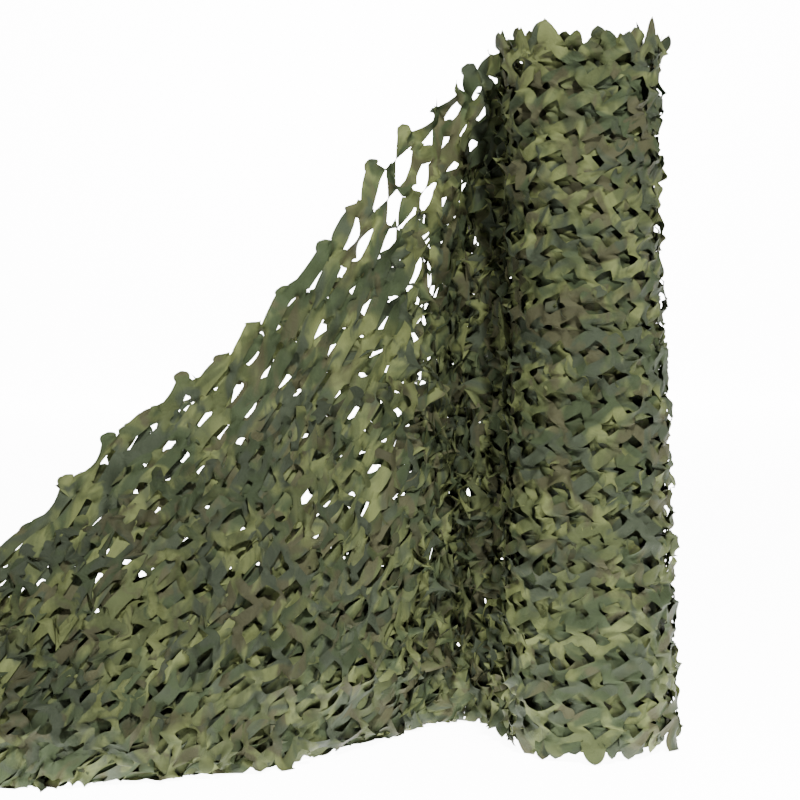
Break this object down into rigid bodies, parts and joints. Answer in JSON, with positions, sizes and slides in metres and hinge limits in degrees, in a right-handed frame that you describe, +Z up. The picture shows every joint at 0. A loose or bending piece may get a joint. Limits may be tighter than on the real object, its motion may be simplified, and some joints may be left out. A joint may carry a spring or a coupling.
{
  "type": "camouflage netting on a roll",
  "caption": "Leaf-cut camouflage netting wound on a roll that stands on its end, with the loose end drawn out so that it hangs and slumps to the floor.",
  "frame": {"origin": "on the floor, in the middle of the flat base of the wound roll", "axes": "+X from the loose end towards the roll, +Y to the back, +Z up"},
  "size_m": [1.7441, 0.6719, 1.4979],
  "materials": {
    "roll_cloth": "thin woven polyester in a woodland pattern of light green, olive, blue-green, grey and brown, with a slight sheen",
    "loose_cloth": "thin woven polyester in a woodland pattern of light green, olive, blue-green, grey and brown, with a slight sheen"
  },
  "bodies": {
    "root": {"netting_roll": "roll_cloth", "netting_loose_end": "loose_cloth"}
  },
  "joints": []
}
